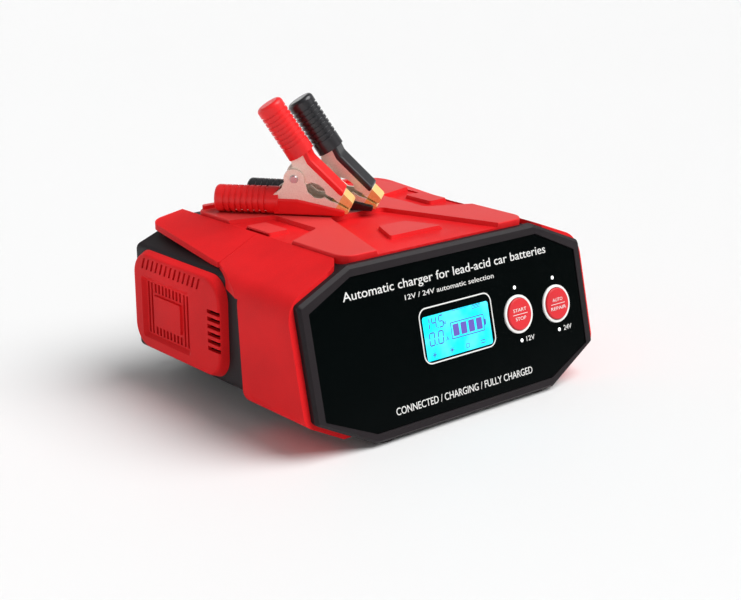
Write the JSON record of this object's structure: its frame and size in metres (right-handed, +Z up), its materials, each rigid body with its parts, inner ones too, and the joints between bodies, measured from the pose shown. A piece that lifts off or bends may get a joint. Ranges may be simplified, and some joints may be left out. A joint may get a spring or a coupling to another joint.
{
  "type": "car battery charger",
  "caption": "Bench car battery charger with a dark casing, red covers, a leaning front panel with display and push buttons, side air grilles, a rear fan and two spring clamps on its lid.",
  "frame": {"origin": "on the ground under the middle of the whole charger, cable glands included", "axes": "+X to the right seen from the front, +Y to the back, +Z up"},
  "size_m": [0.21, 0.1802, 0.1617],
  "materials": {
    "casing": "fine texture",
    "red_shell": "satin",
    "foot_rubber": "matte",
    "gland_rubber": "matte",
    "screw_steel": "satin",
    "panel_gloss": "gloss",
    "display_glass": "clear",
    "inner_plastic": "matte",
    "white_plastic": "gloss",
    "red_button": "satin",
    "lamp_clear": "clear",
    "board_green": "satin",
    "core_iron": "satin",
    "winding_copper": "enamel",
    "can_aluminium": "satin",
    "jaw_copper": "bright",
    "teeth_gold": "bright",
    "red_grip": "soft satin",
    "black_grip": "soft satin"
  },
  "bodies": {
    "charger": {"base_tray": "casing", "housing": "casing", "rear_cover": "casing", "feet": "foot_rubber", "base_screws": "screw_steel", "rear_screws": "screw_steel", "mains_gland": "gland_rubber", "output_gland": "gland_rubber", "front_bezel": "casing", "front_panel": "panel_gloss", "display_frame": "panel_gloss", "display_window": "display_glass", "display_module": "inner_plastic", "left_button_ring": "white_plastic", "right_button_ring": "white_plastic", "tact_switches": "inner_plastic", "light_pipes": "lamp_clear", "control_board": "board_green", "control_screws": "screw_steel", "top_cover": "red_shell", "right_cheek": "red_shell", "left_cheek": "red_shell", "right_wing": "red_shell", "left_wing": "red_shell", "right_grille": "red_shell", "left_grille": "red_shell", "main_board": "board_green", "board_screws": "screw_steel", "transformer_core": "core_iron", "transformer_winding": "winding_copper", "input_capacitor": "can_aluminium", "output_capacitors": "can_aluminium", "heatsink": "can_aluminium", "power_transistors": "inner_plastic", "output_choke": "winding_copper", "fuse": "display_glass", "ribbon_cable": "inner_plastic", "fan_frame": "inner_plastic", "fan_screws": "screw_steel"},
    "left_button": {"left_button": "red_button"},
    "right_button": {"right_button": "red_button"},
    "fan_rotor": {"fan_rotor": "inner_plastic"},
    "red_lower": {"red_lower_jaw": "jaw_copper", "red_lower_grip": "red_grip", "red_lower_teeth": "teeth_gold", "red_rivet": "screw_steel", "red_spring": "screw_steel"},
    "red_upper": {"red_upper_jaw": "jaw_copper", "red_upper_grip": "red_grip", "red_upper_teeth": "teeth_gold"},
    "black_lower": {"black_lower_jaw": "jaw_copper", "black_lower_grip": "black_grip", "black_lower_teeth": "teeth_gold", "black_rivet": "screw_steel", "black_spring": "screw_steel"},
    "black_upper": {"black_upper_jaw": "jaw_copper", "black_upper_grip": "black_grip", "black_upper_teeth": "teeth_gold"}
  },
  "joints": [
    {"name": "left_button_press", "type": "slide", "parent": "charger", "child": "left_button", "axis": [0, 0.972, -0.2351], "range_m": [0, 0.0006], "stiffness_N_per_m": 2000, "springref_m": -0.0005},
    {"name": "right_button_press", "type": "slide", "parent": "charger", "child": "right_button", "axis": [0, 0.972, -0.2351], "range_m": [0, 0.0006], "stiffness_N_per_m": 2000, "springref_m": -0.0005},
    {"name": "fan_spin", "type": "hinge", "parent": "charger", "child": "fan_rotor", "pos_m": [0, 0.0697, 0.05], "axis": [0, 1, 0], "continuous": true},
    {"name": "red_clamp_lift", "type": "slide", "parent": "charger", "child": "red_lower", "axis": [-0.5377, -0.4592, 0.7071], "range_m": [0, 0.12]},
    {"name": "red_jaw_open", "type": "hinge", "parent": "red_lower", "child": "red_upper", "pos_m": [-0.02949, 0.02226, 0.11752], "axis": [-0.7489, -0.6396, -0.1736], "range_deg": [0, 35], "stiffness_Nm_per_rad": 0.6, "springref_deg": -20.05, "deforming": ["red_spring"]},
    {"name": "black_clamp_lift", "type": "slide", "parent": "charger", "child": "black_lower", "axis": [0, 0, 1], "range_m": [0, 0.12]},
    {"name": "black_jaw_open", "type": "hinge", "parent": "black_lower", "child": "black_upper", "pos_m": [-0.00806, 0.02245, 0.11752], "axis": [-0.7916, -0.5858, -0.1736], "range_deg": [0, 35], "stiffness_Nm_per_rad": 0.6, "springref_deg": -20.05, "deforming": ["black_spring"]}
  ]
}
